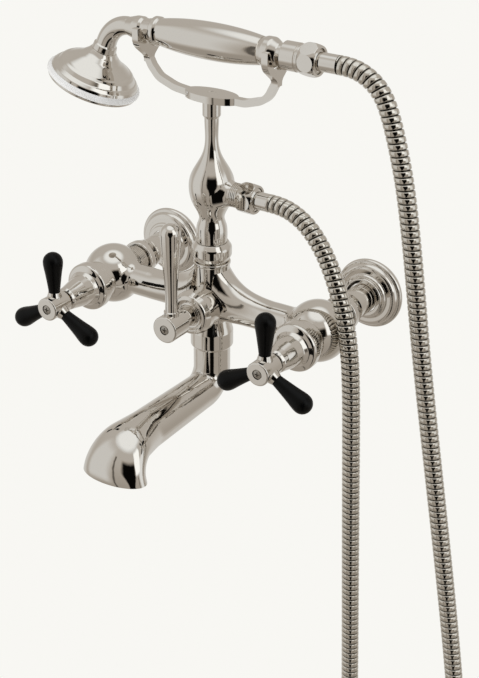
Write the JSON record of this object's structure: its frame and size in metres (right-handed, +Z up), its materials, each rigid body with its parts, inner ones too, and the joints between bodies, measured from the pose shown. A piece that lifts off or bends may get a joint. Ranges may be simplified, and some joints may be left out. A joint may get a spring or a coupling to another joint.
{
  "type": "wall mounted bath faucet",
  "caption": "Exposed wall mounted bath faucet with lever handles, a diverter, a flared spout and a hand shower on a cradle with a flexible hose.",
  "frame": {"origin": "in the plane of the finished wall, midway between the two inlets and level with them", "axes": "+Z up, +X to the right as seen from the front, -Y out of the wall towards the user"},
  "size_m": [0.41, 0.2423, 0.7427],
  "materials": {
    "polished_nickel": "polished nickel plate",
    "brass": "machined",
    "screw_steel": "satin",
    "black_grip": "satin black",
    "white_ring": "gloss white",
    "hose_metal": "polished metal over rubber",
    "washer_rubber": "matte",
    "valve_ceramic": "lapped ceramic"
  },
  "bodies": {
    "faucet": {"escutcheon_left": "polished_nickel", "inlet_nipple_left": "brass", "inlet_sleeve_left": "polished_nickel", "union_nut_left": "polished_nickel", "union_washer_left": "washer_rubber", "bonnet_left": "polished_nickel", "cartridge_left": "brass", "fixed_disc_left": "valve_ceramic", "escutcheon_right": "polished_nickel", "inlet_nipple_right": "brass", "inlet_sleeve_right": "polished_nickel", "union_nut_right": "polished_nickel", "union_washer_right": "washer_rubber", "bonnet_right": "polished_nickel", "cartridge_right": "brass", "fixed_disc_right": "valve_ceramic", "main_body": "polished_nickel", "diverter_bonnet": "polished_nickel", "diverter_sleeve": "brass", "collar_nut": "polished_nickel", "riser_washer": "washer_rubber", "riser": "polished_nickel", "cradle_ferrule": "polished_nickel", "cradle": "polished_nickel", "spout": "polished_nickel", "hose_washer_riser": "washer_rubber", "hose_nut_riser": "polished_nickel", "hose_ferrule_riser": "polished_nickel", "hose": "hose_metal"},
    "hot_handle": {"spindle_left": "brass", "turning_disc_left": "valve_ceramic", "handle_hub_left": "polished_nickel", "handle_screw_left": "screw_steel", "grip_left_1": "black_grip", "grip_left_2": "black_grip", "grip_left_3": "black_grip"},
    "cold_handle": {"spindle_right": "brass", "turning_disc_right": "valve_ceramic", "handle_hub_right": "polished_nickel", "handle_screw_right": "screw_steel", "grip_right_1": "black_grip", "grip_right_2": "black_grip", "grip_right_3": "black_grip"},
    "diverter": {"diverter_rotor": "brass", "diverter_hub": "polished_nickel", "diverter_screw": "screw_steel", "diverter_lever": "polished_nickel"},
    "handset": {"handset_pipe": "polished_nickel", "rose_bell": "polished_nickel", "rose_ring": "white_ring", "spray_plate": "polished_nickel", "front_collar": "polished_nickel", "handle_barrel": "polished_nickel", "rear_collar": "polished_nickel", "hose_washer_handset": "washer_rubber", "hose_nut_handset": "polished_nickel", "hose_ferrule_handset": "polished_nickel"}
  },
  "joints": [
    {"name": "hot_turn", "type": "hinge", "parent": "faucet", "child": "hot_handle", "pos_m": [-0.1016, 0, 0], "axis": [0, -1, 0], "range_deg": [0, 90]},
    {"name": "cold_turn", "type": "hinge", "parent": "faucet", "child": "cold_handle", "pos_m": [0.1016, 0, 0], "axis": [0, 1, 0], "range_deg": [0, 90]},
    {"name": "diverter_turn", "type": "hinge", "parent": "faucet", "child": "diverter", "pos_m": [0, 0, 0], "axis": [0, 1, 0], "range_deg": [0, 90]},
    {"name": "handset_lift", "type": "slide", "parent": "faucet", "child": "handset", "axis": [0, 0, 1], "range_m": [0, 0.08]}
  ]
}
